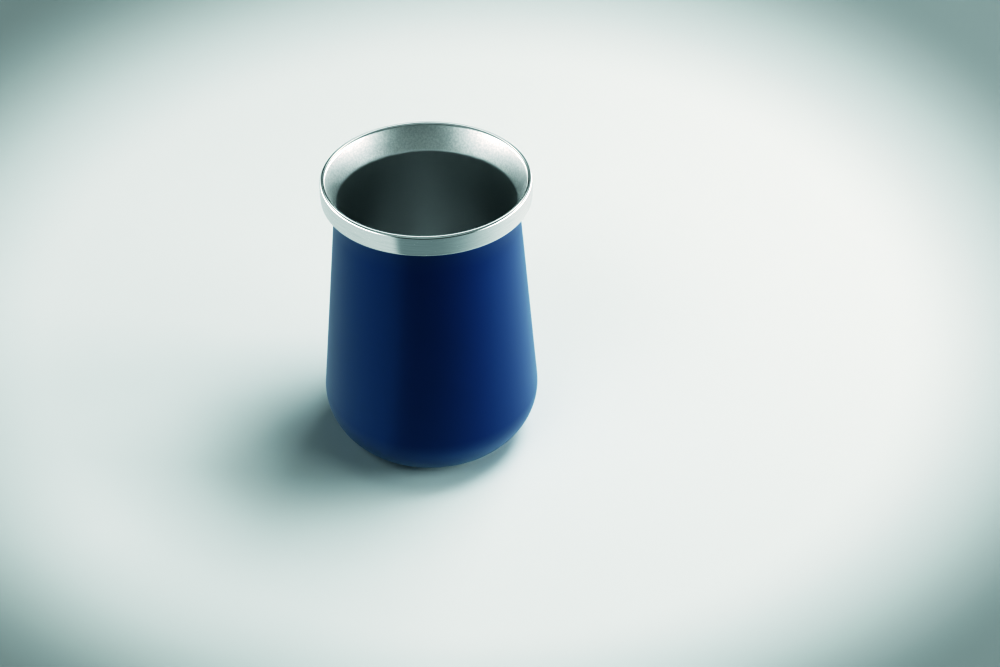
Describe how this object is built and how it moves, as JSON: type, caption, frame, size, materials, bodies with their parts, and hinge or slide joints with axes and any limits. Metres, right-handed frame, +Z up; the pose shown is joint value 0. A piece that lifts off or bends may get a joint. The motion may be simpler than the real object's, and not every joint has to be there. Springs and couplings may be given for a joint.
{
  "type": "mate cup",
  "caption": "Double-walled steel drinking cup for mate, with a powder-coated pear-shaped shell and a bare steel liner whose lip rolls over into a wide band.",
  "frame": {"origin": "middle of the foot, on the plane the cup stands on", "axes": "+Z up along the cup's axis; the cup is the same all the way round"},
  "size_m": [0.0852, 0.0852, 0.1185],
  "materials": {
    "powder_coat": "satin navy powder coat, fine and even",
    "steel": "bare stainless steel, fine satin grain"
  },
  "bodies": {
    "root": {"shell": "powder_coat", "liner": "steel"}
  },
  "joints": []
}
